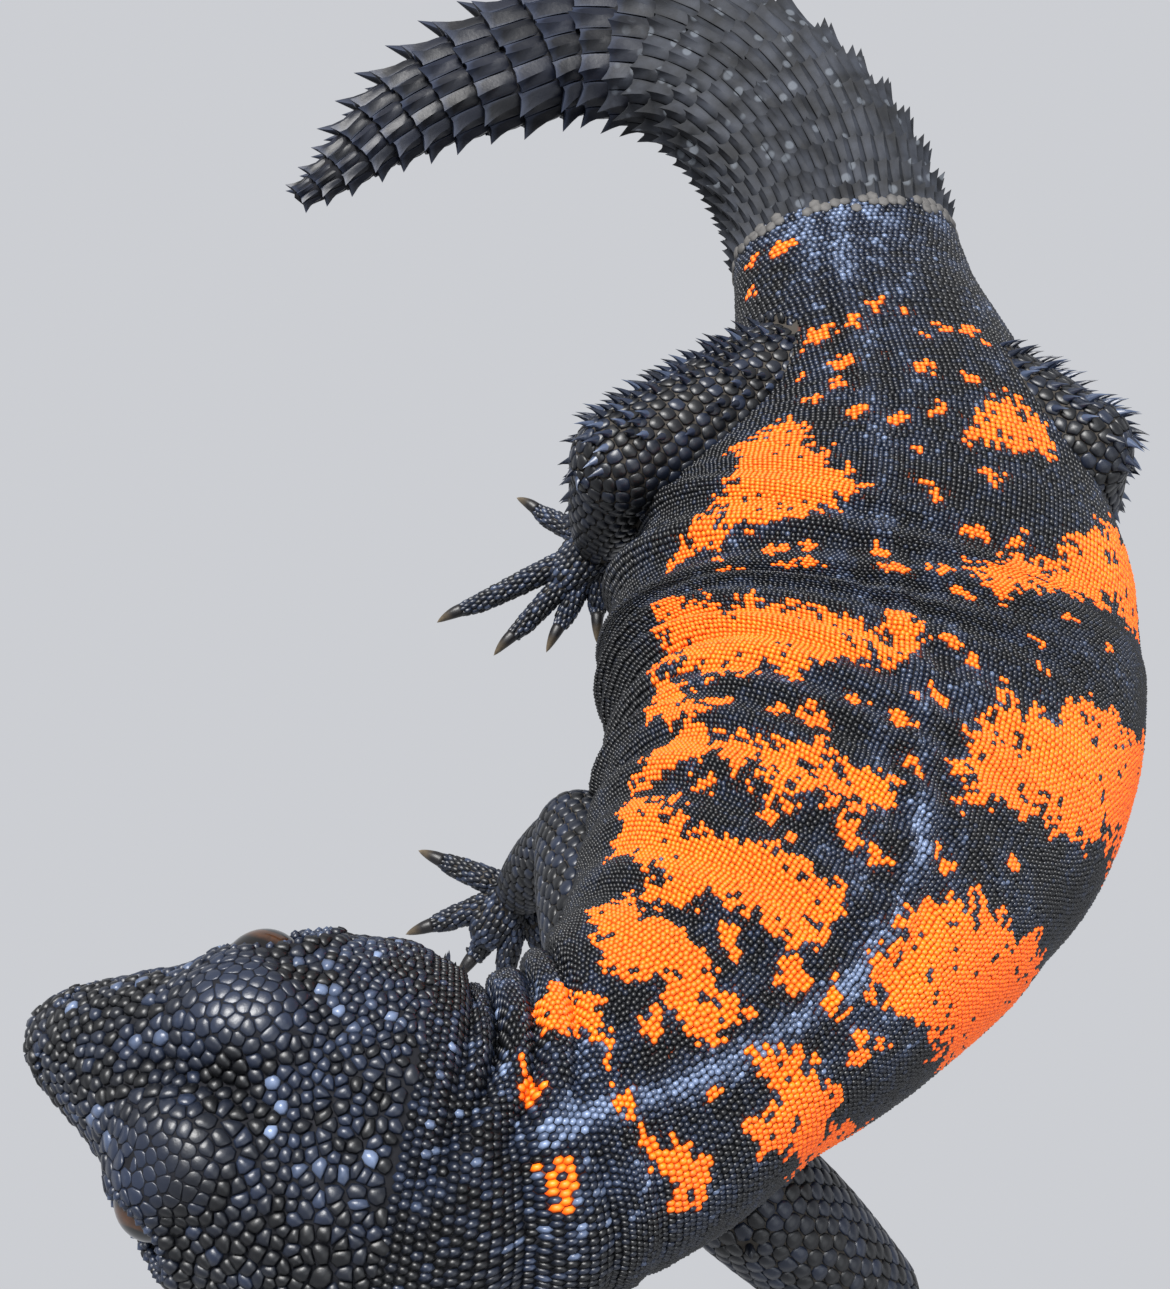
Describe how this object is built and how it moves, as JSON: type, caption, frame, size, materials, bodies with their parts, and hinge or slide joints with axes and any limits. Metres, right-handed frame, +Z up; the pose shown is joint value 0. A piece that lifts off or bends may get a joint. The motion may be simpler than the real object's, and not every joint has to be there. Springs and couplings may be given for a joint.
{
  "type": "spiny-tailed lizard",
  "caption": "Black spiny-tailed lizard with orange bars, front raised on straight arms, belly on the floor and the thick spiked tail curled round to its right.",
  "frame": {"origin": "on the floor, at the middle of the flat of the belly that rests there", "axes": "+Z up from the floor. +Y runs from the belly back to the hips and the root of the tail. The head points to -X, its own right side towards +Y"},
  "size_m": [0.1555, 0.2731, 0.0868],
  "materials": {
    "skin": "fine dry scales with a low sheen",
    "tail_plates": "dull horny plates",
    "claw_horn": "smooth horn",
    "eye": "wet and dark"
  },
  "bodies": {
    "root": {"belly": "skin", "chest": "skin", "claw_foot_left_1": "claw_horn", "claw_foot_left_2": "claw_horn", "claw_foot_left_3": "claw_horn", "claw_foot_left_4": "claw_horn", "claw_foot_left_5": "claw_horn", "claw_foot_right_1": "claw_horn", "claw_foot_right_2": "claw_horn", "claw_foot_right_3": "claw_horn", "claw_foot_right_4": "claw_horn", "claw_foot_right_5": "claw_horn", "claw_hand_left_1": "claw_horn", "claw_hand_left_2": "claw_horn", "claw_hand_left_3": "claw_horn", "claw_hand_left_4": "claw_horn", "claw_hand_left_5": "claw_horn", "claw_hand_right_1": "claw_horn", "claw_hand_right_2": "claw_horn", "claw_hand_right_3": "claw_horn", "claw_hand_right_4": "claw_horn", "claw_hand_right_5": "claw_horn", "eye_left": "eye", "eye_right": "eye", "foot_left": "skin", "foot_right": "skin", "forearm_left": "skin", "forearm_right": "skin", "hand_left": "skin", "hand_right": "skin", "head": "skin", "hips": "skin", "neck": "skin", "shank_left": "skin", "shank_right": "skin", "tail_base": "tail_plates", "tail_middle": "tail_plates", "tail_rear": "tail_plates", "tail_tip": "tail_plates", "thigh_left": "skin", "thigh_right": "skin", "upper_arm_left": "skin", "upper_arm_right": "skin"}
  },
  "joints": []
}
